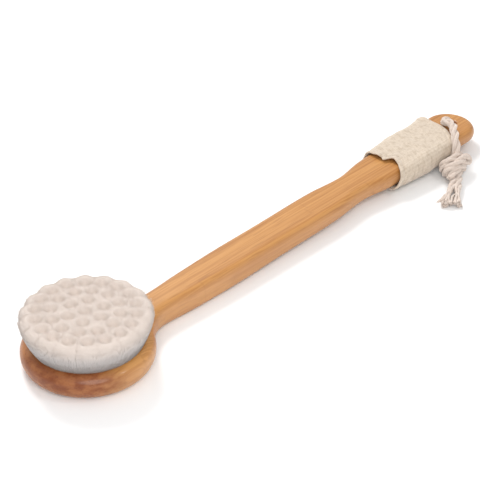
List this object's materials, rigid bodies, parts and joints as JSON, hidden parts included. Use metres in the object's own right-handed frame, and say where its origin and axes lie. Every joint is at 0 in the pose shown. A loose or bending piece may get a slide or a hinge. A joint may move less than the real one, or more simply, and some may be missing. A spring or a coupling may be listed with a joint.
{
  "type": "body dry brush",
  "caption": "Long-handled bamboo body brush with a round bristle head, a cotton sleeve on the grip and a knotted hanging rope.",
  "frame": {"origin": "middle of the flat back of the round head", "axes": "+X along the handle to its tip, +Z out of the head towards the bristle tips, +Y across the handle"},
  "size_m": [0.388, 0.0951, 0.0356],
  "materials": {
    "bamboo": "satin lacquer over laminated bamboo",
    "bristle_fibre": "white plant fibre, matte",
    "anchor_metal": "plain flat wire",
    "sleeve_cotton": "slubby cream cotton knit",
    "stitching_thread": "overlocked cotton thread",
    "rope_cotton": "soft twisted cotton"
  },
  "bodies": {
    "brush": {"bamboo_body": "bamboo", "bristle_tuft_01": "bristle_fibre", "bristle_tuft_02": "bristle_fibre", "bristle_tuft_03": "bristle_fibre", "bristle_tuft_04": "bristle_fibre", "bristle_tuft_05": "bristle_fibre", "bristle_tuft_06": "bristle_fibre", "bristle_tuft_07": "bristle_fibre", "bristle_tuft_08": "bristle_fibre", "bristle_tuft_09": "bristle_fibre", "bristle_tuft_10": "bristle_fibre", "bristle_tuft_11": "bristle_fibre", "bristle_tuft_12": "bristle_fibre", "bristle_tuft_13": "bristle_fibre", "bristle_tuft_14": "bristle_fibre", "bristle_tuft_15": "bristle_fibre", "bristle_tuft_16": "bristle_fibre", "bristle_tuft_17": "bristle_fibre", "bristle_tuft_18": "bristle_fibre", "bristle_tuft_19": "bristle_fibre", "bristle_tuft_20": "bristle_fibre", "bristle_tuft_21": "bristle_fibre", "bristle_tuft_22": "bristle_fibre", "bristle_tuft_23": "bristle_fibre", "bristle_tuft_24": "bristle_fibre", "bristle_tuft_25": "bristle_fibre", "bristle_tuft_26": "bristle_fibre", "bristle_tuft_27": "bristle_fibre", "bristle_tuft_28": "bristle_fibre", "bristle_tuft_29": "bristle_fibre", "bristle_tuft_30": "bristle_fibre", "bristle_tuft_31": "bristle_fibre", "bristle_tuft_32": "bristle_fibre", "bristle_tuft_33": "bristle_fibre", "bristle_tuft_34": "bristle_fibre", "bristle_tuft_35": "bristle_fibre", "bristle_tuft_36": "bristle_fibre", "bristle_tuft_37": "bristle_fibre", "tuft_anchors": "anchor_metal", "lower_hem_stitching": "stitching_thread", "cotton_sleeve": "sleeve_cotton", "upper_hem_stitching": "stitching_thread"},
    "hanging_rope": {"rope_top_leg": "rope_cotton", "rope_lower_leg": "rope_cotton", "rope_knot": "rope_cotton", "rope_tail_far": "rope_cotton", "rope_tail_near": "rope_cotton"}
  },
  "joints": [
    {"name": "loop_swing", "type": "hinge", "parent": "brush", "child": "hanging_rope", "pos_m": [0.334, 0, 0.016], "axis": [0, 0, 1], "range_deg": [0, 180]}
  ]
}
